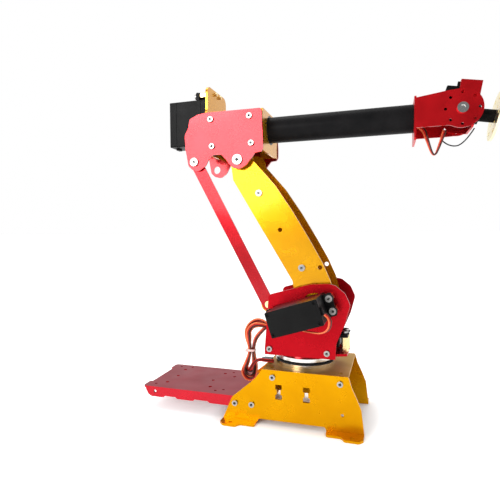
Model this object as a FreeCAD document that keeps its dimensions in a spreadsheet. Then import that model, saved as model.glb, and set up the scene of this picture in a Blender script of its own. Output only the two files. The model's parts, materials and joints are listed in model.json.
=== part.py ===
import FreeCAD, Part
import os
from math import sin, cos, tan, pi, atan2, hypot, radians, acos

V = FreeCAD.Vector
R = FreeCAD.Rotation
os.makedirs("parts", exist_ok=True)
doc = FreeCAD.newDocument("desktop_arm")
sheet = doc.addObject("Spreadsheet::Sheet", "Dims")
D = {}

# Sizes in millimetres. X points to the tool, Y across, Z up, origin on the floor under the base.
for name, value in [
    ("base_half_wide", 34.5), ("base_sheet", 1.8), ("deck_top", 45.6), ("foot_hole_rad", 1.6),
    ("tray_top", 20.0), ("tray_sheet", 1.6), ("yaw_x", 5.5), ("race_rad", 25.5), ("race_bore", 16.5),
    ("race_top_rad", 25.0), ("plate_thick", 2.0), ("plate_outer", 26.5), ("floor_low", 56.0),
    ("shoulder_x", 18.5), ("shoulder_z", 97.5), ("elbow_x", -46.5), ("elbow_z", 219.0),
    ("crank_long", 39.5), ("arm_outer", 20.6), ("arm_sheet", 1.8), ("link_thick", 1.4),
    ("servo_half_wide", 9.85), ("servo_deep", 37.2), ("ear_thick", 2.5),
    ("horn_rad", 10.0), ("horn_thick", 2.8), ("screw_rad", 1.5), ("screw_hole", 1.6),
    ("tube_z", 247.1), ("tube_rad", 11.0), ("tube_bore", 9.5), ("fork_sheet", 1.5), ("wrist_x", 125.8), ("wrist_z", 248.5),
    ("wrist_tilt", 10.4), ("cheek_rad", 14.3), ("disc_rad", 18.3), ("disc_thick", 1.6),
    ("hub_rad", 4.8), ("horn_hole", 11.5), ("hank_rad", 1.4), ("thin_rad", 1.1),
]:
    row = len(D) + 1
    sheet.set("A%d" % row, name)
    sheet.set("B%d" % row, str(value))
    sheet.setAlias("B%d" % row, name)
    D[name] = value
doc.recompute()

count = [0]
nodes = []


def fresh(kind):
    count[0] += 1
    return "w%03d_%s" % (count[0], kind)


def give(o, prop, v):
    if isinstance(v, str):
        o.setExpression(prop, "Dims." + v)
    else:
        setattr(o, prop, v)


def box(x0, x1, y0, y1, z0, z1):
    o = doc.addObject("Part::Box", fresh("box"))
    o.Length, o.Width, o.Height = x1 - x0, y1 - y0, z1 - z0
    o.Placement.Base = V(x0, y0, z0)
    return o


TURN = {"x": R(V(0, 1, 0), 90), "y": R(V(1, 0, 0), -90), "z": R()}


def cyl(axis, at, rad, high):
    o = doc.addObject("Part::Cylinder", fresh("cyl"))
    give(o, "Radius", rad)
    give(o, "Height", high)
    o.Placement = FreeCAD.Placement(V(*at), TURN[axis])
    return o


def prism(axis, at, rad, high, sides=6):
    o = doc.addObject("Part::Prism", fresh("prism"))
    o.Polygon, o.Circumradius, o.Height = sides, rad, high
    o.Placement = FreeCAD.Placement(V(*at), TURN[axis])
    return o


def sphere(at, rad):
    o = doc.addObject("Part::Sphere", fresh("ball"))
    o.Radius = rad
    o.Placement.Base = V(*at)
    return o


def rounded(pts):
    n = len(pts)
    ends, arcs = [], []
    for i in range(n):
        px, py = pts[i - 1][:2]
        qx, qy = pts[i][:2]
        nx, ny = pts[(i + 1) % n][:2]
        rad = pts[i][2] if len(pts[i]) > 2 else 0
        la, lb = hypot(px - qx, py - qy), hypot(nx - qx, ny - qy)
        ax, ay, bx, by = (px - qx) / la, (py - qy) / la, (nx - qx) / lb, (ny - qy) / lb
        th = acos(max(-1, min(1, ax * bx + ay * by)))
        if rad <= 0 or th > pi - 0.03:
            ends.append(((qx, qy), (qx, qy)))
            arcs.append(None)
            continue
        t = min(rad / tan(th / 2), 0.48 * la, 0.48 * lb)
        r = t * tan(th / 2)
        t1, t2 = (qx + ax * t, qy + ay * t), (qx + bx * t, qy + by * t)
        s = hypot(ax + bx, ay + by)
        k = r / sin(th / 2)
        c = (qx + (ax + bx) / s * k, qy + (ay + by) / s * k)
        a1, a2 = atan2(t1[1] - c[1], t1[0] - c[0]), atan2(t2[1] - c[1], t2[0] - c[0])
        if (a2 - a1) % (2 * pi) > pi:
            a1, a2 = a2, a1
        ends.append((t1, t2))
        arcs.append(Part.ArcOfCircle(Part.Circle(V(c[0], c[1], 0), V(0, 0, 1), r), a1, a2))
    out = []
    for i in range(n):
        if arcs[i]:
            out.append(arcs[i])
        a, b = ends[i][1], ends[(i + 1) % n][0]
        if hypot(a[0] - b[0], a[1] - b[1]) > 1e-6:
            out.append(Part.LineSegment(V(a[0], a[1], 0), V(b[0], b[1], 0)))
    return out


FACE = {
    "xz": (R(V(1, 0, 0), 90), V(0, 1, 0)),
    "xy": (R(), V(0, 0, 1)),
    "yz": (R(V(1, 1, 1), 120), V(1, 0, 0)),
}


def slab(plane, start, thick, outline, holes=()):
    """An outline with corner radii, extruded. Holes are (u, v, radius) or outlines."""
    turn, along = FACE[plane]
    sk = doc.addObject("Sketcher::SketchObject", fresh("sketch"))
    sk.Placement = FreeCAD.Placement(along * start, turn)
    for g in rounded(outline):
        sk.addGeometry(g, False)
    for h in holes:
        if isinstance(h, tuple):
            sk.addGeometry(Part.Circle(V(h[0], h[1], 0), V(0, 0, 1), h[2]), False)
        else:
            for g in rounded(h):
                sk.addGeometry(g, False)
    e = doc.addObject("Part::Extrusion", fresh("slab"))
    e.Base = sk
    e.DirMode = "Custom"
    e.Dir = along
    e.FaceMakerClass = "Part::FaceMakerBullseye"
    e.Solid = True
    give(e, "LengthFwd", thick)
    return e


def fuse(*parts):
    if len(parts) == 1:
        return parts[0]
    o = doc.addObject("Part::MultiFuse", fresh("fuse"))
    o.Shapes = list(parts)
    return o


def cut(base, *tools):
    o = doc.addObject("Part::Cut", fresh("cut"))
    o.Base = base
    o.Tool = fuse(*tools)
    return o


def group(*parts):
    o = doc.addObject("Part::Compound", fresh("group"))
    o.Links = list(parts)
    return o


def mirror(o):
    m = doc.addObject("Part::Mirroring", fresh("mirror"))
    m.Source = o
    m.Base, m.Normal = V(0, 0, 0), V(0, 1, 0)
    return m


def node(label, o):
    o.Label = label
    nodes.append((label, o))
    return o


def put(o, base, turn):
    o.Placement = FreeCAD.Placement(base, turn)
    return o


def axes(x, y, z):
    m = FreeCAD.Matrix(x.x, y.x, z.x, 0, x.y, y.y, z.y, 0, x.z, y.z, z.z, 0, 0, 0, 0, 1)
    return FreeCAD.Placement(m).Rotation


def screw(axis, at, sign, shank, head=1.5, rad=2.35):
    """A button head standing on a face, with its shank behind. sign is the way the head points."""
    i = "xyz".index(axis)
    if sign > 0:
        sh = cyl(axis, [c - (shank if k == i else 0) for k, c in enumerate(at)], "screw_rad", shank)
        hd = cyl(axis, at, rad, head)
        hx = prism(axis, [c + (head * 0.2 if k == i else 0) for k, c in enumerate(at)], 1.3, head)
    else:
        sh = cyl(axis, at, "screw_rad", shank)
        hd = cyl(axis, [c - (head if k == i else 0) for k, c in enumerate(at)], rad, head)
        hx = prism(axis, [c - (head * 1.2 if k == i else 0) for k, c in enumerate(at)], 1.3, head)
    return cut(fuse(sh, hd), hx)


SX, SZ, EX, EZ = D["shoulder_x"], D["shoulder_z"], D["elbow_x"], D["elbow_z"]
RX, RZ = EX - D["crank_long"], EZ
CX, CZ = SX - D["crank_long"], SZ
YX = D["yaw_x"]
TZ = D["tube_z"]
PX, PZ = D["wrist_x"], D["wrist_z"]
H = D["screw_hole"]

# ---------------------------------------------------------------- base
side = [(-23.8, 45.6, 1.5), (45.6, 45.6, 1.5), (48, 37.5, 4), (52.3, 28.2, 6), (55.4, 20.4, 6),
        (57.6, 2, 1), (57.6, 0), (29, 0), (27.5, 4, 1.5), (-27, 4, 1.5), (-28.5, 0), (-58, 0),
        (-58, 2, 1), (-57, 4.5, 2), (-50.1, 20.1, 6), (-41.9, 26.9, 8), (-29.9, 37.3, 6)]


def dumbbell(c):
    return [(c - 2.75, 21.7, 0.7), (c + 2.75, 21.7, 0.7), (c + 2.75, 25.7, 0.7), (c + 1.5, 25.7),
            (c + 1.5, 30), (c + 2.75, 30, 0.7), (c + 2.75, 34, 0.7), (c - 2.75, 34, 0.7),
            (c - 2.75, 30, 0.7), (c - 1.5, 30), (c - 1.5, 25.7), (c - 2.75, 25.7, 0.7)]


side_screws = [(-15, 39.8), (39.3, 39.7), (-47.6, 15), (-32.9, 15.3)]
plate = slab("xz", -D["base_half_wide"], "base_sheet", side,
             [(x, z, H) for x, z in side_screws] + [(41.1, 15, 1.2), dumbbell(-10), dumbbell(12.8)])
foot_l = slab("xy", 0, "base_sheet", [(-58, -32.7), (-28.5, -32.7), (-28.5, -42.5, 2), (-41, -42.5, 3),
              (-43.5, -47, 2.5), (-54.5, -47, 3), (-58, -43, 2)], [(-49, -42.5, H)])
foot_r = slab("xy", 0, "base_sheet", [(57.6, -32.7), (29, -32.7), (29, -42.5, 2), (41, -42.5, 3),
              (43.5, -47, 2.5), (54.5, -47, 3), (57.6, -43, 2)], [(49, -42.5, H)])
near = node("base_side_near", fuse(plate, foot_l, foot_r))
node("base_side_far", mirror(near))

deck = slab("xy", D["deck_top"] - 1.8, "base_sheet",
            [(-23.8, -32.7), (45.6, -32.7), (45.6, 32.7), (-23.8, 32.7)],
            [(YX, 0, 3.2), (-17, -27, H), (-17, 27, H), (39, -27, H), (39, 27, H)])
flange = slab("xz", -32.7, "base_sheet", [(-22, 45.6), (43.5, 45.6), (43.5, 35, 3), (-22, 35, 3)],
              [(-15, 39.8, H), (39.3, 39.7, H)])
node("base_deck", fuse(deck, flange, mirror(flange)))

heads = [screw("y", (x, -34.5, z), -1, 5.0) for x, z in side_screws]
near_s = group(*heads)
node("base_screws", group(near_s, mirror(near_s)))

top = slab("xy", D["tray_top"] - 1.6, "tray_sheet",
           [(-27, -32.7), (-27, 32.7), (-137, 32.7, 3), (-137, 21, 1), (-134.4, 19.5, 1),
            (-134.4, -19.5, 1), (-137, -21, 1), (-137, -32.7, 3)],
           [(-120, 18.5, H), (-120, -18.5, H), (-77, 18.5, H), (-77, -18.5, H), (-118.5, 0, 1.4),
            (-128, 26, 1.2), (-128, -25, 1.2), (-116, 27, 1.2), (-70, 23.5, 1.2), (-65, 12.5, 1.4),
            (-81, -2.2, 1.4), (-69, -26, 1.2), (-63, -22, 1.2)])
skirt = slab("xz", -32.7, "tray_sheet",
             [(-27, 20), (-27, 11, 1), (-72, 11, 1), (-73.5, 12.4, 1), (-86, 12.4, 1), (-87.5, 11, 1),
              (-103, 11, 1), (-104.5, 12.4, 1), (-115, 12.4, 1), (-116.5, 11, 1), (-129, 11, 3),
              (-132, 13, 2), (-134.5, 18, 2), (-134.5, 20)],
             [(-47.6, 15, H), (-32.9, 15.3, H), (-124.9, 15.8, 1.4)])
node("controller_tray", fuse(top, skirt, mirror(skirt)))

# ---------------------------------------------------------------- slewing bearing
groove = doc.addObject("Part::Torus", fresh("groove"))
groove.Radius1, groove.Radius2 = 21, 2.05
groove.Placement.Base = V(YX, 0, 49.6)
low = fuse(cyl("z", (YX, 0, 45.6), "race_rad", 2.8), cyl("z", (YX, 0, 45.6), 24.6, 3.6))
node("bearing_race_lower", cut(low, cyl("z", (YX, 0, 45), "race_bore", 6), groove))
groove2 = doc.addObject("Part::Torus", fresh("groove"))
groove2.Radius1, groove2.Radius2 = 21, 2.05
groove2.Placement.Base = V(YX, 0, 49.6)
high = fuse(cyl("z", (YX, 0, 50.9), "race_top_rad", 2.7), cyl("z", (YX, 0, 50.0), 24.2, 3.6))
balls = []
for k in range(16):
    a = 2 * pi * k / 16
    balls.append(sphere((YX + 21 * cos(a), 21 * sin(a), 49.6), 1.98))
node("bearing_balls", group(*balls))
node("yaw_hub", cut(fuse(cyl("z", (YX, 0, 45.6), 14, 2), cyl("z", (YX, 0, 45.6), 9, 12.2)),
                    cyl("z", (YX, 0, 45), 2.0, 14)))


# ---------------------------------------------------------------- servo, in its own frame:
# shaft on z, ear face at z 0, the long end of the case towards -x
def servo():
    w, a, b = D["servo_half_wide"], -30.35, 10.35
    body = slab("xy", -29.1, "servo_deep", [(a, -w, 1), (b, -w, 1), (b, w, 1), (a, w, 1)])
    ears = slab("xy", -2.5, "ear_thick", [(-37.25, -9.2, 1.5), (17.25, -9.2, 1.5), (17.25, 9.2, 1.5), (-37.25, 9.2, 1.5)],
                [(x, y, 2.2) for x in (-34.75, 14.75) for y in (-5, 5)])
    boss = cyl("z", (0, 0, 8.0), 5.8, 0.8)
    rib = fuse(box(b - 0.2, 16.3, -0.7, 0.7, 0, 2.2), box(-36.3, a + 0.2, -0.7, 0.7, 0, 2.2))
    plug = box(b - 0.3, b + 1.6, -2.9, 2.9, -26.5, -23.6)
    tools = []
    for z in (-22.6, 1.6):
        tools.append(cut(box(a - 1, b + 1, -w - 1, w + 1, z, z + 0.35),
                         box(a + 0.35, b - 0.35, -w + 0.35, w - 0.35, z - 1, z + 1)))
    tools.append(cyl("z", (0, 0, 4.5), 3.0, 6))
    for x in (a + 2.4, b - 2.4):
        for y in (-w + 2.4, w - 2.4):
            tools.append(cyl("z", (x, y, -29.6), 1.3, 1.6))
    return cut(fuse(body, ears, boss, rib, plug), *tools)


def horn():
    disc = fuse(cyl("z", (0, 0, 9.4), "horn_rad", "horn_thick"), cyl("z", (0, 0, 5.0), 2.95, 5))
    holes = [cyl("z", (7 * cos(k * pi / 2), 7 * sin(k * pi / 2), 9), 1.1, 4) for k in range(4)]
    holes.append(cyl("z", (0, 0, 11.2), 2.2, 2))
    return cut(disc, *holes)


def grommets():
    out = []
    for x in (-34.75, 14.75):
        for y in (-5, 5):
            out.append(cut(fuse(cyl("z", (x, y, -3.4), 3.6, 0.9), cyl("z", (x, y, -3.4), 2.15, 3.4)),
                           cyl("z", (x, y, -4), 1.6, 5)))
    return group(*out)


def ear_screws():
    return group(*[screw("z", (x, y, -3.4), -1, 3.4, 1.6, 2.7) for x in (-34.75, 14.75) for y in (-5, 5)])


T = radians(17.5)
ALONG = V(cos(T), 0, sin(T))
PLACE = {
    "yaw": (V(YX, 0, 70), R(V(0, 1, 0), 180)),
    "elbow": (V(SX, -34.6, SZ), axes(ALONG, V(0, 1, 0).cross(ALONG), V(0, 1, 0))),
    "shoulder": (V(SX, 34.6, SZ), axes(ALONG, V(0, -1, 0).cross(ALONG), V(0, -1, 0))),
    "roll": (V(-88.9, 0, TZ), axes(V(0, 0, -1), V(1, 0, 0).cross(V(0, 0, -1)), V(1, 0, 0))),
}


def placed(maker, key):
    return put(maker(), *PLACE[key])


node("yaw_horn", placed(horn, "yaw"))

# ---------------------------------------------------------------- turret
node("bearing_race_upper", cut(high, cyl("z", (YX, 0, 49), "race_bore", 6), groove2))
node("turntable_ring", cut(cyl("z", (YX, 0, 53.6), 22, 2.4), cyl("z", (YX, 0, 53), 14.5, 4)))
floor = slab("xy", D["floor_low"], "plate_thick",
             [(-23.5, -24.5), (34.5, -24.5), (34.5, -17, 1), (43, -14, 3), (43, 14, 3), (34.5, 17, 1),
              (34.5, 24.5), (-23.5, 24.5)],
             [(YX, 0, 12)] + [(x, y, H) for x in (-9.25, 40.25) for y in (-5, 5)])
lip = slab("xz", -24.5, 1.6, [(-22, 56), (33, 56), (33, 63.3, 2), (-22, 63.3, 2)],
           [(-19.5, 60.9, H), (28, 60.7, H)])
node("turret_floor", fuse(floor, lip, mirror(lip)))


def ear_holes(rad):
    out = []
    for u in (-34.75, 14.75):
        for v in (-5, 5):
            out.append((SX + u * cos(T) + v * sin(T), SZ + u * sin(T) - v * cos(T), rad))
    return out


turret_side = slab("xz", -D["plate_outer"], "plate_thick",
                   [(-23.8, 56), (-23.6, 62, 4), (-20, 106.2, 4), (14.7, 115.8, 9), (29, 116.6, 7), (34.6, 115.4, 4),
                    (42.2, 109.2, 5), (46.3, 100.2, 6), (42.3, 85.2, 8), (35.4, 69, 8), (34.7, 56)],
                   [(SX, SZ, D["horn_hole"]), (-19.5, 60.9, H), (28, 60.7, H)] + ear_holes(H))
node("turret_side_near", turret_side)
node("turret_side_far", mirror(turret_side))
node("yaw_servo", placed(servo, "yaw"))
node("shoulder_servo", placed(servo, "shoulder"))
node("elbow_servo", placed(servo, "elbow"))

posts = []
for x in (-9.25, 40.25):
    for y in (-5, 5):
        posts.append(fuse(prism("z", (x, y, 58), 3.1, 12), cyl("z", (x, y, 56), 1.5, 3)))
side_posts = []
for x, z, r in ear_holes(1.5):
    side_posts.append(fuse(prism("y", (x, -34.6, z), 3.1, 8.1), cyl("y", (x, -27, z), 1.5, 2.5)))
side_posts = group(*side_posts)
node("turret_posts", group(*posts, side_posts, mirror(side_posts)))
node("turret_grommets", group(placed(grommets, "yaw"), placed(grommets, "elbow"), placed(grommets, "shoulder")))
floor_s = group(screw("y", (-19.5, -26.5, 60.9), -1, 3.6), screw("y", (28, -26.5, 60.7), -1, 3.6))
node("turret_screws", group(floor_s, mirror(floor_s), placed(ear_screws, "yaw"),
                            placed(ear_screws, "elbow"), placed(ear_screws, "shoulder")))

# ---------------------------------------------------------------- lower arm
arm_line = [(-34.9, 218.7, 3), (-15.6, 196.7, 30), (-1, 175.1, 60), (13.1, 151.6, 60), (23.1, 133.8, 40),
            (30, 118.4, 20), (33.5, 104, 12), (32, 90, 10), (24, 82.5, 10), (11, 82.5, 10), (3, 92, 8),
            (-1.2, 117.6, 3), (-52.6, 202.7, 2), (-54, 213, 4), (-56.5, 223, 6), (-45, 231, 8), (-35.5, 225, 6)]
spacer_at = [(-29.6, 190.9), (6.7, 128.5)]
more = [(x, z, H) for x, z in spacer_at] + [(-11.6, 159.9, 1.9), (21.6, 129.1, 1.9)]
arm_near = slab("xz", -D["arm_outer"], "arm_sheet", arm_line, [(EX, EZ, 2.55), (SX, SZ, 6.05)] + more)
arm_far = slab("xz", D["arm_outer"] - 1.8, "arm_sheet", arm_line, [(EX, EZ, 2.55), (SX, SZ, 3.2)] + more)
web = slab("xz", -D["arm_outer"], 2 * D["arm_outer"],
           [(-52.6, 202.7), (-1.2, 117.6), (0.34, 118.53), (-51.06, 203.63)])
node("arm_channel", fuse(arm_near, arm_far, web))
node("arm_spacers", group(*[cyl("y", (x, -18.8, z), 3.0, 37.6) for x, z in spacer_at]))
arm_s = group(*[screw("y", (x, -20.6, z), -1, 1.8, 1.4, 2.8) for x, z in spacer_at])
node("arm_screws", group(arm_s, mirror(arm_s)))
node("shoulder_horn", placed(horn, "shoulder"))
node("shoulder_hub", fuse(cyl("y", (SX, 20.6, SZ), 9, 1.8), cyl("y", (SX, 17.3, SZ), 3.0, 4), cyl("y", (SX, 17.3, SZ), 4.6, 1.5)))


# ---------------------------------------------------------------- crank and rod
def link(ax, az, ra, bx, bz, rb, y, thick):
    d = atan2(bz - az, bx - ax)
    o = acos((ra - rb) / hypot(bx - ax, bz - az))
    quad = [(ax + ra * cos(d + o), az + ra * sin(d + o)), (bx + rb * cos(d + o), bz + rb * sin(d + o)),
            (bx + rb * cos(d - o), bz + rb * sin(d - o)), (ax + ra * cos(d - o), az + ra * sin(d - o))]
    return fuse(cyl("y", (ax, y, az), ra, thick), cyl("y", (bx, y, bz), rb, thick), slab("xz", y, thick, quad))


node("elbow_horn", placed(horn, "elbow"))
node("crank_lever", cut(fuse(link(SX, SZ, 11, CX, CZ, 6.6, -22.4, "link_thick"), cyl("y", (SX, -21.2, SZ), 6.0, 2.4)),
                        cyl("y", (CX, -23, CZ), 2.0, 3), cyl("y", (SX, -23, SZ), 1.6, 5)))
node("crank_pin", fuse(cyl("y", (CX, -23.85, CZ), 2.0, 2.85), cyl("y", (CX, -24.25, CZ), 3.0, 0.4)))
node("push_rod", cut(link(RX, RZ, 5.25, CX, CZ, 5.25, -23.85, "link_thick"),
                     cyl("y", (RX, -25, RZ), 2.05, 4), cyl("y", (CX, -25, CZ), 2.05, 4)))

# ---------------------------------------------------------------- forearm
fs = [(-70.4, 254.3), (-35.8, 254.4), (-69.3, 231.5), (-34.3, 232)]
fore = slab("xz", -D["plate_outer"], "plate_thick",
            [(-82.1, 259.5, 2), (-90.2, 256, 3), (-91.7, 248.2, 5), (-95.1, 242.5, 5), (-94.2, 229.3, 5),
             (-91.8, 215.9, 4), (-87.9, 212.4, 3), (-82.1, 211, 4), (-76.9, 214.4, 2), (-75.4, 216.2, 2),
             (-72.6, 221.3, 2), (-69, 224.4, 3), (-61.3, 224.3, 3), (-56.4, 219.1, 3), (-54.1, 215.8, 3),
             (-50.5, 212.2, 4), (-44.2, 211.4, 4), (-38.7, 214.3, 3), (-31.3, 224, 3), (-26, 224.5, 1.5),
             (-24.4, 227.3, 1.5), (-24.3, 234.7, 4), (-25.5, 258.4, 1.5), (-26.5, 260.1, 1), (-73.6, 260.4, 3)],
            [(x, z, H) for x, z in fs] + [(EX, EZ, 2.5), (RX, RZ, 2.0)])
node("forearm_side_near", fore)
node("forearm_side_far", cut(mirror(fore), cyl("y", (RX, 24, RZ), 3.6, 3)))
pin = fuse(cyl("y", (EX, -28.0, EZ), 4.3, 1.5), cyl("y", (EX, -27, EZ), 2.5, 9.0),
           cyl("y", (EX, -24.5, EZ), 4.5, 3.85), cyl("y", (EX, -18.7, EZ), 4.2, 2.2))
pin = cut(pin, prism("y", (EX, -28.6, EZ), 1.7, 1.5))
node("elbow_pins", group(pin, mirror(pin)))
node("rod_pin", cut(fuse(cyl("y", (RX, -28.0, RZ), 3.6, 1.5), cyl("y", (RX, -27, RZ), 2.0, 4.9),
                         cyl("y", (RX, -24.5, RZ), 4.0, 0.6), cyl("y", (RX, -22.4, RZ), 3.4, 0.6)),
                    prism("y", (RX, -28.6, RZ), 1.5, 1.4)))
back = slab("yz", -77, "plate_thick", [(-24.5, 226, 2), (24.5, 226, 2), (24.5, 260, 2), (22, 264, 3), (22, 285, 6),
            (-22, 285, 6), (-22, 264, 3), (-24.5, 260, 2)],
            [(0, TZ, D["horn_hole"])] + [(y, z, H) for y in (-5, 5) for z in (TZ - 14.75, TZ + 34.75)])
wing = slab("xz", -24.5, 1.6, [(-77, 227), (-63, 227, 3), (-63, 259, 3), (-77, 259)], [(-70.4, 254.3, H), (-69.3, 231.5, H)])
node("rear_bracket", fuse(back, wing, mirror(wing)))
front = slab("yz", -27, "plate_thick", [(-24.5, 226, 2), (24.5, 226, 2), (24.5, 261, 2), (-24.5, 261, 2)], [(0, TZ, 12.5)])
wing = slab("xz", -24.5, 1.6, [(-25.5, 227), (-41, 227, 3), (-41, 259, 3), (-25.5, 259)], [(-35.8, 254.4, H), (-34.3, 232, H)])
node("front_bracket", fuse(front, wing, mirror(wing)))
f_s = group(*[screw("y", (x, -26.5, z), -1, 3.8) for x, z in fs])
node("forearm_screws", group(f_s, mirror(f_s), placed(ear_screws, "roll")))
node("roll_servo", placed(servo, "roll"))
node("roll_grommets", placed(grommets, "roll"))
node("roll_posts", group(*[fuse(prism("x", (-88.9, y, z), 3.1, 11.9), cyl("x", (-78, y, z), 1.5, 5))
                           for y in (-5, 5) for z in (TZ - 14.75, TZ + 34.75)]))
node("tube_bush", cut(fuse(cyl("x", (-28.6, 0, TZ), 12.5, 3.6), cyl("x", (-28.6, 0, TZ), 15, 1.6)),
                      cyl("x", (-30, 0, TZ), 11.06, 6)))

# ---------------------------------------------------------------- forearm tube and wrist fork
node("roll_horn", placed(horn, "roll"))
node("drive_flange", cut(fuse(cyl("x", (-76.7, 0, TZ), 10, 3.7), cyl("x", (-76.7, 0, TZ), "tube_bore", 16)),
                         cyl("x", (-77, 0, TZ), 2.0, 20)))
node("forearm_tube", cut(cyl("x", (-73, 0, TZ), "tube_rad", 165.5), cyl("x", (-74, 0, TZ), "tube_bore", 168)))
node("tube_plug", cut(cyl("x", (80, 0, TZ), "tube_bore", 12.5), cyl("x", (85, 0, TZ), 1.5, 8)))
fork_web = slab("yz", 92.5, "fork_sheet", [(-16, 227.5, 2), (16, 227.5, 2), (16, 261, 2), (-16, 261, 2)],
                [(0, TZ, 1.6), (-6, 236, 1.4), (6, 236, 1.4), (-6, 257, 1.4), (6, 257, 1.4)])
ring = [(PX + 11.6 * cos(k * pi / 4), PZ + 11.6 * sin(k * pi / 4), 1.1) for k in range(8)]


def cheek(y, low, bore):
    arm = slab("xz", y, "fork_sheet", [(92.5, 259.0), (115.6, 262.1, 6), (124.6, 262.75), (124.6, 234.3), (117, low, 4), (92.5, low)])
    return cut(fuse(arm, cyl("y", (PX, y, PZ), "cheek_rad", "fork_sheet")),
               cyl("y", (PX, y - 1, PZ), bore, 4), *[cyl("y", (x, y - 1, z), r, 4) for x, z, r in ring])


node("wrist_fork", fuse(fork_web, cheek(-16, 236.6, 3.0), cheek(14.5, 234.0, 2.1)))
node("fork_screws", group(screw("x", (94.0, 0, TZ), 1, 1.5, 1.4, 2.8)))
node("pitch_horn", cut(fuse(cyl("y", (PX, -14.5, PZ), 7.5, 1.9), cyl("y", (PX, -13, PZ), 1.95, 3.6)),
                       cyl("y", (PX, -15, PZ), 1.5, 2.5)))
node("pivot_screw", cut(fuse(cyl("y", (PX, -17.8, PZ), 3.9, 1.8), cyl("y", (PX, -16.0, PZ), 3.0, 1.5), cyl("y", (PX, -16.0, PZ), 1.5, 3.5)),
                        prism("y", (PX, -18.4, PZ), 2.0, 1.6)))

# ---------------------------------------------------------------- wrist bracket and tool, in their own frame at the wrist pivot
TILT = R(V(0, 1, 0), D["wrist_tilt"])
AT = V(PX, 0, PZ)
case = slab("xz", -10.5, 22.5, [(6.1, -5.9, 0.8), (6.1, 16.9, 0.8), (-13.4, 16.9, 1), (-13.4, -2.5, 1), (-6.1, -5.9, 0.8)])
ear = slab("xy", -10.65, 32.3, [(-6.1, -6.4, 0.6), (6.1, -6.4, 0.6), (6.1, -4.2, 0.6), (-6.1, -4.2, 0.6)])
seam = cut(box(-15, 8, 6, 6.3, -8, 18), slab("xz", 5, 3, [(5.8, -5.6), (5.8, 16.6), (-13.1, 16.6), (-13.1, -2.3), (-6.0, -5.6)]))
pitch_servo = cut(fuse(case, ear, cyl("y", (0, -12.2, 0), 5.5, 2), cyl("y", (0, -12.2, 5.5), 3.0, 2)), cyl("y", (0, -13, 0), 2.0, 4.5), seam)
node("pitch_servo", put(pitch_servo, AT, TILT))
w_web = slab("yz", 8.5, "fork_sheet", [(-13.9, -12.5, 2), (14.1, -12.5, 2), (14.1, 21.2), (-13.9, 21.2)],
             [(0, 10.5, 1.2), (0, -9.5, 1.2), (9, 0, 1.2), (-9, 0, 1.2)])
w_far = slab("xz", 12.6, "fork_sheet", [(10, -12.5, 3), (10, 21.2), (-6, 21.2, 2), (-9, 8, 8), (-9, -8, 6), (-3, -12.5, 4)], [(0, 0, 2.0)])
w_top = slab("xy", 19.7, "fork_sheet", [(-4.6, -13.9, 1.5), (10, -13.9), (10, 14.1), (-4.6, 14.1, 1.5)], [[(-3, -7), (9, -7), (9, -3.6), (-3, -3.6)]])
w_tab = slab("xz", -13.9, "fork_sheet", [(-4.6, 12.5, 2), (-4.6, 21.2), (10, 21.2), (10, 9.5, 1), (4, 9.5, 2)])
bracket = cut(fuse(w_web, w_far, w_top, w_tab), box(-6.3, 6.3, -6.6, -4.0, 15, 22))
node("wrist_bracket", put(bracket, AT, TILT))
node("idler_pin", put(fuse(cyl("y", (0, 12.1, 0), 2.0, 4.0), cyl("y", (0, 16.1, 0), 3.6, 1.4)), AT, TILT))
node("tool_hub", put(cut(fuse(cyl("x", (10.05, 0, 0), 7.0, 3.4), cyl("x", (10.05, 0, 0), "hub_rad", 14.2)), cyl("x", (12, 0, 0), 1.5, 14)), AT, TILT))
disc_holes = [cyl("x", (23, 14.0 * cos(k * pi / 3), 14.0 * sin(k * pi / 3)), 1.6, 4) for k in range(6)]
disc_holes += [cyl("x", (23, 8.0 * cos(pi / 4 + k * pi / 2), 8.0 * sin(pi / 4 + k * pi / 2)), 1.1, 4) for k in range(4)]
node("tool_disc", put(cut(cyl("x", (24.25, 0, 0), "disc_rad", "disc_thick"), cyl("x", (23, 0, 0), 1.5, 4), *disc_holes), AT, TILT))


# ---------------------------------------------------------------- leads: straight runs joined by bends
def lead(pts, rad, bend):
    """A round lead through the points, its corners rounded to the bend radius."""
    p = [V(*q) for q in pts]
    edges = []
    at = p[0]
    for i in range(1, len(p) - 1):
        a, b = (p[i - 1] - p[i]), (p[i + 1] - p[i])
        la, lb = a.Length, b.Length
        a.normalize()
        b.normalize()
        th = acos(max(-1, min(1, a.dot(b))))
        t = min(bend / tan(th / 2), 0.45 * la, 0.45 * lb)
        r = t * tan(th / 2)
        m = a + b
        m.normalize()
        mid = p[i] + m * (r / sin(th / 2) - r)
        t1, t2 = p[i] + a * t, p[i] + b * t
        edges.append(Part.LineSegment(at, t1).toShape())
        edges.append(Part.Arc(t1, mid, t2).toShape())
        at = t2
    edges.append(Part.LineSegment(at, p[-1]).toShape())
    spine = doc.addObject("Part::Feature", fresh("spine"))
    spine.Shape = Part.Wire(edges)
    ring = doc.addObject("Part::Circle", fresh("ring"))
    give(ring, "Radius", rad)
    d = p[1] - p[0]
    ring.Placement = FreeCAD.Placement(p[0], R(V(0, 0, 1), d))
    s = doc.addObject("Part::Sweep", fresh("sweep"))
    s.Sections = [ring]
    s.Spine = spine
    s.Solid, s.Frenet, s.Transition = True, False, "Right corner"
    return s


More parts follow.
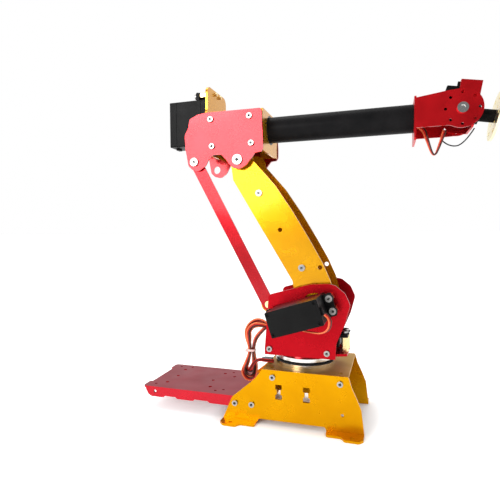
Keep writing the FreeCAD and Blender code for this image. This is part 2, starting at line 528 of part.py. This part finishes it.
hank = [(-21, -16, 77), (-28, -17, 83.5), (-36.5, -18, 82.5), (-42.6, -19, 75), (-42.2, -19, 67), (-39.6, -18.4, 60),
        (-39.6, -18.4, 53), (-43, -19, 45), (-46.5, -19, 37.5), (-43, -18.5, 30.5), (-36, -17.5, 30), (-33.4, -16.6, 39),
        (-36.7, -16.6, 52.5), (-36.7, -16.6, 60), (-33, -15, 69), (-24, -12.5, 78)]
node("lead_hank", lead(hank, "hank_rad", 5))
node("lead_tie", cut(cyl("z", (-38.15, -17.5, 55), 3.95, 2.6), cyl("z", (-38.15, -17.5, 54), 3.3, 5)))
node("lead_deck", lead([(-38.5, -22.5, 40), (-35.5, -22, 46), (-31, -21, 49.5), (-25, -19.5, 48.6), (-18, -17.5, 48)], "thin_rad", 4))
node("lead_plug", fuse(box(-29, -21.5, -14.6, -7.0, 45.6, 48.2), box(-31, -29, -14.0, -7.6, 46.0, 47.8)))
node("elbow_lead", lead([(31.1, -60.05, 98.7), (35.0, -60.5, 96.5), (34.8, -60, 88.5), (29.5, -57, 83.6), (20, -50, 82.4), (9, -38, 80.8), (8, -26.65, 80.4)], "thin_rad", 3))
node("wrist_lead", lead([(94.6, 0, 241.6), (99.8, 0, 239.6), (102.6, 0, 231), (107.9, 0, 214.5), (112.4, 0, 226), (115.6, 0, 236.5)], "thin_rad", 2.5))
node("wrist_loop", lead([(113.8, 1.6, 229), (118.5, 1.6, 223.8), (129.2, 1.6, 224.2), (136.6, 1.6, 236.6)], 0.5, 4))

doc.recompute()
bad = []
for o in doc.Objects:
    if "Invalid" in o.State or "Error" in o.State:
        bad.append("%s %s %s" % (o.Name, o.Label, o.State))
for label, o in nodes:
    s = o.Shape
    if s.isNull() or not s.isValid() or len(s.Solids) == 0:
        bad.append("node %s null %s" % (label, s.isNull()))
if bad:
    raise RuntimeError("; ".join(bad[:20]))
for label, o in nodes:
    o.Shape.exportStep("parts/%s.step" % label)
print("nodes", len(nodes))
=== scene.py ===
import json
import math

import bmesh
import bpy
from mathutils import Matrix, Vector


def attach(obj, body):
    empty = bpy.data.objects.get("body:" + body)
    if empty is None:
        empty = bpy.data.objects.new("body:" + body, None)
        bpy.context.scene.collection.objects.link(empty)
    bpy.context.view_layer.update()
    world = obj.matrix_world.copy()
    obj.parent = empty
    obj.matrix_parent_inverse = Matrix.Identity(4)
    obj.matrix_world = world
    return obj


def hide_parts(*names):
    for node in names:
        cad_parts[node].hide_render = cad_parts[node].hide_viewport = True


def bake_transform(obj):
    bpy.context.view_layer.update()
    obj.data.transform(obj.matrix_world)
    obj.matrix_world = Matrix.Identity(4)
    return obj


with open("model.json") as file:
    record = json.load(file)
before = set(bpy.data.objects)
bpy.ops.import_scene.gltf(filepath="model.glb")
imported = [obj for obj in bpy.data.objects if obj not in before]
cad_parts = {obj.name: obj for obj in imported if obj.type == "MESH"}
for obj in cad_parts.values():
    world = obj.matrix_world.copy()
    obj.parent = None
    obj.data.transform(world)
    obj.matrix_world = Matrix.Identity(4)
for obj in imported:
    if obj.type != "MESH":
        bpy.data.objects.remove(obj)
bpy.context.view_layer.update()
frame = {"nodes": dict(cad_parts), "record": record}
NODES = frame["nodes"]
MM = 0.001


# ---------------------------------------------------------------- camera and studio
def camera():
    azimuth, pitch, roll = math.radians(17.97), math.radians(2.39), math.radians(-0.42)
    ahead = Vector((-math.sin(azimuth) * math.cos(pitch), math.cos(azimuth) * math.cos(pitch), -math.sin(pitch)))
    right = Vector((math.cos(azimuth), math.sin(azimuth), 0))
    up = right.cross(ahead)
    across = right * math.cos(roll) + up * math.sin(roll)
    upright = up * math.cos(roll) - right * math.sin(roll)
    data = bpy.data.cameras.new("camera")
    data.sensor_width = 36
    data.lens = 30.93
    data.clip_start = 0.01
    data.clip_end = 50
    cam = bpy.data.objects.new("camera", data)
    bpy.context.collection.objects.link(cam)
    turn = Matrix((across, upright, -ahead)).transposed().to_4x4()
    cam.matrix_world = Matrix.Translation((0.07496, -0.36867, 0.15822)) @ turn
    bpy.context.scene.camera = cam


def area_light(name, at, aim, size, watts, tint=(1, 1, 1)):
    data = bpy.data.lights.new(name, "AREA")
    data.shape, data.size, data.energy, data.color = "DISK", size, watts, tint
    lamp = bpy.data.objects.new(name, data)
    lamp.location = at
    lamp.rotation_euler = (Vector(aim) - Vector(at)).to_track_quat("-Z", "Y").to_euler()
    bpy.context.collection.objects.link(lamp)


def studio():
    scene = bpy.context.scene
    scene.view_settings.view_transform = "Standard"
    world = bpy.data.worlds.new("studio")
    scene.world = world
    world.use_nodes = True
    tree = world.node_tree
    # The wall behind the object is white, and the room in front of it darker.
    place = tree.nodes.new("ShaderNodeTexCoord")
    split = tree.nodes.new("ShaderNodeSeparateXYZ")
    ramp = tree.nodes.new("ShaderNodeValToRGB")
    remap = tree.nodes.new("ShaderNodeMapRange")
    remap.inputs["From Min"].default_value, remap.inputs["From Max"].default_value = -1, 1
    for position, grey in ((0.0, 0.15), (0.40, 0.22), (0.56, 1.0), (1.0, 1.0)):
        spot = ramp.color_ramp.elements.new(position) if 0 < position < 1 else ramp.color_ramp.elements[int(position)]
        spot.color = (grey, grey, grey, 1)
    tree.links.new(place.outputs["Generated"], split.inputs["Vector"])
    tree.links.new(split.outputs["Y"], remap.inputs["Value"])
    tree.links.new(remap.outputs["Result"], ramp.inputs["Fac"])
    tree.links.new(ramp.outputs["Color"], tree.nodes["Background"].inputs["Color"])
    tree.nodes["Background"].inputs["Strength"].default_value = 1.0
    # The softbox stands where the upper plates mirror it and the lower ones don't.
    area_light("softbox", (-0.38, -0.95, 0.46), (-0.05, 0, 0.22), 0.50, 5.2)
    area_light("key", (-0.30, -0.52, 0.50), (-0.06, 0, 0.25), 0.22, 0.35)
    area_light("fill", (0.9, -0.9, 0.35), (0.02, 0, 0.12), 0.5, 0.4)
    area_light("top", (-0.25, 0.1, 1.1), (0, 0, 0.1), 0.6, 2.6)
    lay_floor()


def lay_floor():
    data = bpy.data.meshes.new("floor")
    b = bmesh.new()
    bmesh.ops.create_circle(b, cap_ends=True, segments=96, radius=40)
    b.to_mesh(data)
    b.free()
    floor = bpy.data.objects.new("floor", data)
    bpy.context.collection.objects.link(floor)
    floor.location.z = -0.0002
    m = Surface("floor_white", rough=0.75)
    m.colour((0.97, 0.97, 0.97), (0.95, 0.95, 0.95), 3)
    m.shader.inputs["Emission Color"].default_value = (1, 1, 1, 1)
    # The floor glows faintly as a lit table does, and fades to no light under the base: a painted shade there.
    split, reach = m.tree.nodes.new("ShaderNodeSeparateXYZ"), m.tree.nodes.new("ShaderNodeMath")
    m.tree.links.new(m.place.outputs["Object"], split.inputs["Vector"])
    reach.operation = "MAXIMUM"
    half_base = (("X", 0.058), ("Y", 0.036))
    for i, (axis, half) in enumerate(half_base):
        part, size = m.tree.nodes.new("ShaderNodeMath"), m.tree.nodes.new("ShaderNodeMath")
        part.operation, size.operation = "ABSOLUTE", "MULTIPLY"
        size.inputs[1].default_value = 1 / half
        m.tree.links.new(split.outputs[axis], part.inputs[0])
        m.tree.links.new(part.outputs[0], size.inputs[0])
        m.tree.links.new(size.outputs[0], reach.inputs[i])
    floor_light_and_painted_shade = m.tree.nodes.new("ShaderNodeMapRange")
    floor_light_and_painted_shade.inputs["From Min"].default_value, floor_light_and_painted_shade.inputs["From Max"].default_value = 0.9, 1.25
    floor_light_and_painted_shade.inputs["To Min"].default_value, floor_light_and_painted_shade.inputs["To Max"].default_value = 0.0, 0.38
    m.tree.links.new(reach.outputs[0], floor_light_and_painted_shade.inputs["Value"])
    m.tree.links.new(floor_light_and_painted_shade.outputs["Result"], m.shader.inputs["Emission Strength"])
    floor.data.materials.append(m.material)


# ---------------------------------------------------------------- materials
class Surface:
    """A Principled material whose colour, gloss and bump vary with noise in object space."""

    def __init__(self, name, rough=0.4, metal=0.0, coat=0.0, coat_rough=0.1, specular=0.5):
        self.material = bpy.data.materials.new(name)
        self.material.use_nodes = True
        self.tree = self.material.node_tree
        self.shader = self.tree.nodes["Principled BSDF"]
        self.shader.inputs["Metallic"].default_value = metal
        self.shader.inputs["Roughness"].default_value = rough
        self.shader.inputs["Coat Weight"].default_value = coat
        self.shader.inputs["Coat Roughness"].default_value = coat_rough
        self.shader.inputs["Specular IOR Level"].default_value = specular
        self.place = self.tree.nodes.new("ShaderNodeTexCoord")

    def noise(self, scale, detail=3.0, stretch=None):
        n = self.tree.nodes.new("ShaderNodeTexNoise")
        n.inputs["Scale"].default_value = scale
        n.inputs["Detail"].default_value = detail
        source = self.place.outputs["Object"]
        if stretch:
            m = self.tree.nodes.new("ShaderNodeMapping")
            m.inputs["Scale"].default_value = stretch
            self.tree.links.new(source, m.inputs["Vector"])
            source = m.outputs["Vector"]
        self.tree.links.new(source, n.inputs["Vector"])
        return n.outputs["Fac"]

    def colour(self, a, b, scale, detail=3.0, low=0.35, high=0.65):
        ramp = self.tree.nodes.new("ShaderNodeValToRGB")
        ramp.color_ramp.elements[0].position = low
        ramp.color_ramp.elements[0].color = (*a, 1)
        ramp.color_ramp.elements[1].position = high
        ramp.color_ramp.elements[1].color = (*b, 1)
        self.tree.links.new(self.noise(scale, detail), ramp.inputs["Fac"])
        self.tree.links.new(ramp.outputs["Color"], self.shader.inputs["Base Color"])
        return self

    def gloss(self, low, high, scale, stretch=None):
        m = self.tree.nodes.new("ShaderNodeMapRange")
        m.inputs["From Min"].default_value, m.inputs["From Max"].default_value = 0.3, 0.7
        m.inputs["To Min"].default_value, m.inputs["To Max"].default_value = low, high
        self.tree.links.new(self.noise(scale, 4.0, stretch), m.inputs["Value"])
        self.tree.links.new(m.outputs["Result"], self.shader.inputs["Roughness"])
        return self

    def bump(self, scale, strength, depth, stretch=None):
        n = self.tree.nodes.new("ShaderNodeBump")
        n.inputs["Strength"].default_value = strength
        n.inputs["Distance"].default_value = depth
        self.tree.links.new(self.noise(scale, 2.0, stretch), n.inputs["Height"])
        self.tree.links.new(n.outputs["Normal"], self.shader.inputs["Normal"])
        return self


def satin_sheet(name, colour, darker, lacquer=0.42, low=0.21, high=0.30, gleam=0.5):
    """Dyed sheet metal: a satin finish with slow patches of tone, and handling marks in the gloss."""
    sheet = Surface(name, metal=0.80, specular=gleam, coat=lacquer, coat_rough=0.11)
    return sheet.colour(colour, darker, 30).gloss(low, high, 55).bump(1500, 0.10, 0.0001).material


def plated(name, colour, darker, low, high):
    return Surface(name, metal=1.0).colour(colour, darker, 120).gloss(low, high, 260).bump(900, 0.04, 0.00005).material


def turned(name, colour, darker, low, high):
    """Lathe-turned metal: fine rings across the piece."""
    piece = Surface(name, metal=1.0).colour(colour, darker, 60).gloss(low, high, 300, (1, 1, 12))
    return piece.bump(700, 0.06, 0.00005, (1, 1, 14)).material


def moulded(name, colour, lighter, low, high, grain, gleam=0.35):
    """Moulded plastic with a spark-eroded grain."""
    piece = Surface(name, specular=gleam).colour(colour, lighter, 45).gloss(low, high, 90)
    return piece.bump(grain, 0.16, 0.00012).material


def black_tube():
    """Black tube with faint marks drawn out along it."""
    tube = Surface("tube_black", specular=0.03).colour((0.007, 0.007, 0.0075), (0.011, 0.0105, 0.011), 60)
    return tube.gloss(0.30, 0.38, 300, (0.15, 1, 1)).bump(900, 0.05, 0.00006, (0.08, 1, 1)).material


MATERIALS = {
    "yellow_paint": satin_sheet("yellow_paint", (0.74, 0.34, 0.002), (0.68, 0.29, 0.0015)),
    "red_paint": satin_sheet("red_paint", (0.42, 0.006, 0.012), (0.37, 0.004, 0.009)),
    # The tray's top: a duller, greyer copy of its sides' red, as painted light and shade.
    "tray_red": satin_sheet("tray_red", (0.30, 0.030, 0.045), (0.25, 0.024, 0.036), 0.0, 0.36, 0.46),
    "wrist_red": satin_sheet("wrist_red", (0.60, 0.004, 0.009), (0.50, 0.003, 0.007), 0.08, 0.28, 0.38),
    "screw_steel": plated("screw_steel", (0.46, 0.45, 0.43), (0.34, 0.33, 0.32), 0.26, 0.40),
    "bearing_steel": turned("bearing_steel", (0.86, 0.85, 0.82), (0.70, 0.69, 0.66), 0.16, 0.28),
    "brass": turned("brass", (0.95, 0.76, 0.42), (0.86, 0.66, 0.32), 0.20, 0.34),
    "servo_black": moulded("servo_black", (0.0035, 0.0033, 0.0035), (0.006, 0.006, 0.006),
                           0.34, 0.44, 2200, 0.10),
    "horn_black": moulded("horn_black", (0.010, 0.010, 0.010), (0.018, 0.018, 0.018), 0.26, 0.38, 1600),
    "tube_black": black_tube(),
    "rubber": moulded("rubber", (0.010, 0.010, 0.010), (0.016, 0.016, 0.016), 0.6, 0.75, 1500),
    "tie": moulded("tie", (0.80, 0.45, 0.42), (0.88, 0.58, 0.54), 0.25, 0.35, 900),
}
WIRES = {
    "wire_red": moulded("wire_red", (0.50, 0.012, 0.010), (0.60, 0.020, 0.014), 0.30, 0.42, 1400),
    "wire_orange": moulded("wire_orange", (0.86, 0.16, 0.05), (0.92, 0.24, 0.09), 0.30, 0.42, 1400),
    "wire_brown": moulded("wire_brown", (0.045, 0.012, 0.008), (0.075, 0.022, 0.014), 0.30, 0.42, 1400),
    "wire_black": moulded("wire_black", (0.010, 0.010, 0.010), (0.016, 0.016, 0.016), 0.30, 0.42, 1400),
}
DISC = turned("disc_brass", (0.96, 0.88, 0.62), (0.90, 0.80, 0.50), 0.22, 0.36)
# Painted shade: the inside of each hex socket gets this dark metal for the shade in the recess.
SOCKET = plated("socket_painted_shade", (0.05, 0.05, 0.05), (0.08, 0.08, 0.08), 0.45, 0.6)
# Painted light and shade: the tray is one sheet, but its sides get this bright red and its top the duller, greyer red
# of tray_red, as lit and shaded copies of one paint.
LIT_FLANGE = satin_sheet("tray_sides_lit", (0.55, 0.006, 0.020), (0.48, 0.005, 0.016), 0.2)
DECK = satin_sheet("deck_gold", (0.50, 0.27, 0.035), (0.42, 0.22, 0.025), 0.0, 0.40, 0.52)
# Lit and shaded copies of the paints for the sheets low and midway on the arm: less lacquer and sheen, and the yellows
# and the mid red painted darker, as painted shade. It is set to the photo's light, not known of the object.
LOW_YELLOW = satin_sheet("yellow_low", (0.67, 0.310, 0.0015), (0.61, 0.270, 0.0012), 0.0, 0.24, 0.33, 0.05)
MID_YELLOW = satin_sheet("yellow_mid", (0.68, 0.320, 0.0015), (0.63, 0.285, 0.0012), 0.20, 0.21, 0.30, 0.2)
LOW_RED = satin_sheet("red_low", (0.42, 0.006, 0.012), (0.36, 0.004, 0.009), 0.0, 0.24, 0.33, 0.05)
MID_RED = satin_sheet("red_mid", (0.40, 0.006, 0.012), (0.35, 0.004, 0.009), 0.28, 0.21, 0.30, 0.2)
CHROME = turned("pin_chrome", (0.86, 0.85, 0.83), (0.70, 0.69, 0.67), 0.10, 0.18)
HUB = moulded("hub_black", (0.004, 0.004, 0.004), (0.007, 0.007, 0.007), 0.40, 0.50, 1600, 0.03)
SPECIAL = {"tool_disc": DISC, "base_deck": DECK, "pivot_screw": CHROME, "tool_hub": HUB,
           "arm_channel": MID_YELLOW, "push_rod": MID_RED}
SPECIAL.update(dict.fromkeys(("base_side_near", "base_side_far", "crank_lever"), LOW_YELLOW))
SPECIAL.update(dict.fromkeys(("turret_side_near", "turret_side_far", "turret_floor"), LOW_RED))


ROUNDING = dict.fromkeys(("bearing_race_lower", "bearing_race_upper"), 0.7)
# The screws and pins with a hex socket, and its reach from the axis as a share of the head's width.
SCREWS = ("base_screws", "turret_screws", "arm_screws", "forearm_screws", "fork_screws")
SOCKETED = dict.fromkeys(SCREWS, 0.29)
SOCKETED.update({"elbow_pins": 0.21, "rod_pin": 0.215})
ROUNDING.update(dict.fromkeys([*SOCKETED, "pivot_screw"], 0.45))


def soften(piece, width):
    """Rounds the sharp edges of a piece, width in millimetres."""
    edge = piece.modifiers.new("edge", "BEVEL")
    edge.width = width * MM
    edge.segments = 3
    edge.limit_method = "ANGLE"
    edge.angle_limit = math.radians(50)
    edge.use_clamp_overlap = True
    edge.harden_normals = True


def in_painted_shade_step(face):
    """Painted shade: the faces at the step between the two races, which get the black rubber as a dark band."""
    return 48.45 * MM < face.center.z < 50.85 * MM


def is_flange(face):
    return abs(face.normal.z) < 0.5


# A second material on some faces of a node.
SECOND = {
    # The tray's sides get the brighter copy of its paint, as painted light.
    "controller_tray": (LIT_FLANGE, is_flange),
    "bearing_race_lower": (MATERIALS["rubber"], in_painted_shade_step),
    "bearing_race_upper": (MATERIALS["rubber"], in_painted_shade_step),
}


def socket_faces(mesh, share):
    """The faces inside the hex socket of each screw in a node: those close about its own axis."""
    b = bmesh.new()
    b.from_mesh(mesh)
    left, found = set(b.faces), set()
    while left:
        stack, screw = [left.pop()], []
        while stack:
            face = stack.pop()
            screw.append(face)
            for edge in face.edges:
                for other in edge.link_faces:
                    if other in left:
                        left.remove(other)
                        stack.append(other)
        points = [v.co for face in screw for v in face.verts]
        low = [min(p[i] for p in points) for i in range(3)]
        high = [max(p[i] for p in points) for i in range(3)]
        spans = [high[i] - low[i] for i in range(3)]
        # The two equal spans lie across the screw; the one that differs runs along it.
        along = max(range(3), key=lambda i: abs(spans[i] - sorted(spans)[1]))
        middle = Vector([(low[i] + high[i]) / 2 for i in range(3)])
        reach = share * spans[(along + 1) % 3]
        for face in screw:
            off = face.calc_center_median() - middle
            off[along] = 0
            if off.length < reach:
                found.add(face.index)
    b.free()
    return found


def dress_nodes():
    slots = {s["node"]: s["material_slot"] for s in frame["record"]["subparts"]}
    for name, node in NODES.items():
        mesh = node.data
        mesh.materials.clear()
        mesh.materials.append(SPECIAL.get(name) or MATERIALS.get(slots[name], WIRES["wire_red"]))
        second, chosen = SECOND.get(name, (None, None))
        sockets = socket_faces(mesh, SOCKETED[name]) if name in SOCKETED else ()
        # The faces in each hex socket get the dark metal as painted shade.
        if sockets:
            second, chosen = SOCKET, (lambda face: face.index in sockets)
        if second:
            mesh.materials.append(second)
        for face in mesh.polygons:
            face.use_smooth = True
            if second and chosen(face):
                face.material_index = 1
        mesh.set_sharp_from_angle(angle=math.radians(32))
        if slots[name] in ("tube_black", "lead_red") or name == "bearing_balls":
            continue
        soften(node, ROUNDING.get(name) or (0.28 if slots[name].endswith(("paint", "red")) else 0.2))


# ---------------------------------------------------------------- servo leads
def spline(points):
    """The smooth line through a route in millimetres, as its points."""
    data = bpy.data.curves.new("route", "CURVE")
    data.dimensions = "3D"
    data.resolution_u = 10
    s = data.splines.new("NURBS")
    s.points.add(len(points) - 1)
    for p, q in zip(s.points, points):
        p.co = (q[0] * MM, q[1] * MM, q[2] * MM, 1)
    s.order_u = 3
    s.use_endpoint_u = True
    holder = bpy.data.objects.new("route", data)
    mesh = bpy.data.meshes.new_from_object(holder)
    line = [v.co.copy() for v in mesh.vertices]
    bpy.data.objects.remove(holder)
    bpy.data.curves.remove(data)
    bpy.data.meshes.remove(mesh)
    return line


def frames(line, side):
    """A sideways direction at each point, carried along the line without twisting."""
    out = []
    across = Vector(side)
    for i, p in enumerate(line):
        ahead = (line[min(i + 1, len(line) - 1)] - line[max(i - 1, 0)]).normalized()
        across = (across - ahead * across.dot(ahead)).normalized()
        out.append((ahead, across.copy(), ahead.cross(across)))
    return out


def flat_lead(name, points, side, wires, pitch, radius, turns=0.0):
    """A flat lead of round wires lying side by side, as one mesh, following the smooth line through the points."""
    line = spline(points)
    at = frames(line, side)
    b = bmesh.new()
    ring = 10
    for k, wire in enumerate(wires):
        off = (k - (len(wires) - 1) / 2) * pitch * MM
        last = None
        for i, (p, (ahead, across, over)) in enumerate(zip(line, at)):
            a = 2 * math.pi * turns * i / len(line)
            lie = across * math.cos(a) + over * math.sin(a)
            rise = over * math.cos(a) - across * math.sin(a)
            middle = p + lie * off
            spokes = [2 * math.pi * j / ring for j in range(ring)]
            now = [b.verts.new(middle + (lie * math.cos(t) + rise * math.sin(t)) * radius * MM) for t in spokes]
            if last:
                for j in range(ring):
                    f = b.faces.new((last[j], last[(j + 1) % ring], now[(j + 1) % ring], now[j]))
                    f.smooth, f.material_index = True, k
            else:
                b.faces.new(now[::-1]).material_index = k
            last = now
        b.faces.new(last).material_index = k
    bmesh.ops.recalc_face_normals(b, faces=b.faces)
    data = bpy.data.meshes.new(name)
    b.to_mesh(data)
    b.free()
    for wire in wires:
        data.materials.append(WIRES[wire])
    lead = bpy.data.objects.new(name, data)
    bpy.context.collection.objects.link(lead)
    return lead


RIBBON = ("wire_brown", "wire_red", "wire_orange")
HANK = [(-21, -16, 77), (-28, -17, 83.5), (-36.5, -18, 82.5), (-42.6, -19, 75), (-42.2, -19, 67),
        (-39.6, -18.4, 60), (-39.6, -18.4, 53), (-43, -19, 45), (-46.5, -19, 37.5), (-43, -18.5, 30.5),
        (-36, -17.5, 30), (-33.4, -16.6, 39), (-36.7, -16.6, 52.5), (-36.7, -16.6, 60), (-33, -15, 69),
        (-24, -12.5, 78)]
# Each lead of the hank: how far its loops are drawn in, how far aside it lies (mm), its flat side, its twist.
HANK_LEADS = [(0.00, 0.0, (0.9, -0.5, 0.1), 0.0), (0.30, -1.6, (1, 0.2, 0.1), 0.35),
              (0.52, 1.4, (0.7, -0.7, 0.2), -0.45), (0.16, 2.4, (1, -0.2, 0), 0.2)]
HANK_TIED, HANK_LOWER = (0, 5, 6, 12, 13, 15), range(7, 12)
DECK_LEAD = [(-38.5, -22.5, 40), (-35.5, -22, 46), (-31, -21, 49.5), (-25, -19.5, 48.6), (-18, -17.5, 48)]
ELBOW_LEAD = [(31.1, -60.05, 98.7), (35.0, -60.5, 96.5), (34.8, -60, 88.5), (29.5, -57, 83.6),
              (20, -50, 82.4), (9, -38, 80.8), (8, -26.65, 80.4)]
WRIST_LEAD = [(94.6, 0, 241.6), (99.8, 0, 239.6), (102.6, 0, 231),
              (107.9, 0, 214.5), (112.4, 0, 226), (115.6, 0, 236.5)]
WRIST_LOOP = [(113.8, 1.6, 229), (118.5, 1.6, 223.8), (129.2, 1.6, 224.2), (136.6, 1.6, 236.6)]


def nested(tight, aside):
    """The hank's route with its two loops drawn in, as an inner lead of the bundle lies. The ends and the tie stay."""
    route = []
    for i, (x, y, z) in enumerate(HANK):
        if i in HANK_TIED:
            route.append((x, y + 0.28 * aside, z))
        else:
            middle = Vector((-40, -17.8, 45) if i in HANK_LOWER else (-36, -17, 70))
            p = middle + (Vector((x, y, z)) - middle) * (1 - tight)
            route.append((p.x, y + aside, p.z))
    return route


def tie():
    """A pale strap drawn round the hank, with its locking head and a cut tail."""
    b = bmesh.new()
    segments, low, high = 48, 55.2, 57.2
    section = ((3.35, low), (3.75, low + 0.2), (3.85, (low + high) / 2), (3.75, high - 0.2), (3.35, high))
    rims = []
    for k in range(segments):
        a = 2 * math.pi * k / segments
        c, d = math.cos(a), math.sin(a)
        rims.append([b.verts.new(((-38.15 + r * c * 1.02) * MM, (-17.5 + r * d * 0.86) * MM, z * MM))
                     for r, z in section])
    for p, q in zip(rims, rims[1:] + rims[:1]):
        for i in range(5):
            b.faces.new((p[i], q[i], q[(i + 1) % 5], p[(i + 1) % 5]))
    for size, at in (((1.8, 1.6, 2.6), (-41.4, -19.9, 56.2)), ((1.6, 0.6, 1.4), (-42.2, -20.6, 56.2))):
        turn = Matrix.Translation([v * MM for v in at]) @ Matrix.Rotation(0.5, 4, "Z")
        bmesh.ops.create_cube(b, size=1, matrix=turn @ Matrix.Diagonal([v * MM for v in size] + [1]))
    bmesh.ops.recalc_face_normals(b, faces=b.faces)
    data = bpy.data.meshes.new("tie_strap")
    b.to_mesh(data)
    b.free()
    for face in data.polygons:
        face.use_smooth = True
    data.set_sharp_from_angle(angle=math.radians(40))
    data.materials.append(MATERIALS["tie"])
    strap = bpy.data.objects.new("tie_strap", data)
    bpy.context.collection.objects.link(strap)
    soften(strap, 0.15)
    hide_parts("lead_tie")
    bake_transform(strap)


def leads():
    tie()
    for k, (tight, aside, side, twist) in enumerate(HANK_LEADS):
        lead = flat_lead("hank_lead_%d" % (k + 1), nested(tight, aside), side, RIBBON, 1.15, 0.58, twist)
        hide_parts("lead_hank")
        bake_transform(lead)
    deck_wires = ("wire_red", "wire_brown", "wire_red")
    lead = flat_lead("deck_lead_wires", DECK_LEAD, (0, 0, 1), deck_wires, 0.95, 0.48)
    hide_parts("lead_deck")
    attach(lead, "base")
    lead = flat_lead("elbow_lead_wires", ELBOW_LEAD, (0.9, 0.45, 0), RIBBON[::-1], 1.05, 0.55)
    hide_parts("elbow_lead")
    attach(lead, "turret")
    lead = flat_lead("wrist_lead_wires", WRIST_LEAD, (1, 0, 0.3), RIBBON[::-1], 1.15, 0.6, 0.4)
    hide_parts("wrist_lead")
    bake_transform(lead)
    lead = flat_lead("wrist_loop_wire", WRIST_LOOP, (0, 1, 0), ("wire_black",), 1.0, 0.5)
    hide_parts("wrist_loop")
    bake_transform(lead)


camera()
leads()
dress_nodes()
studio()
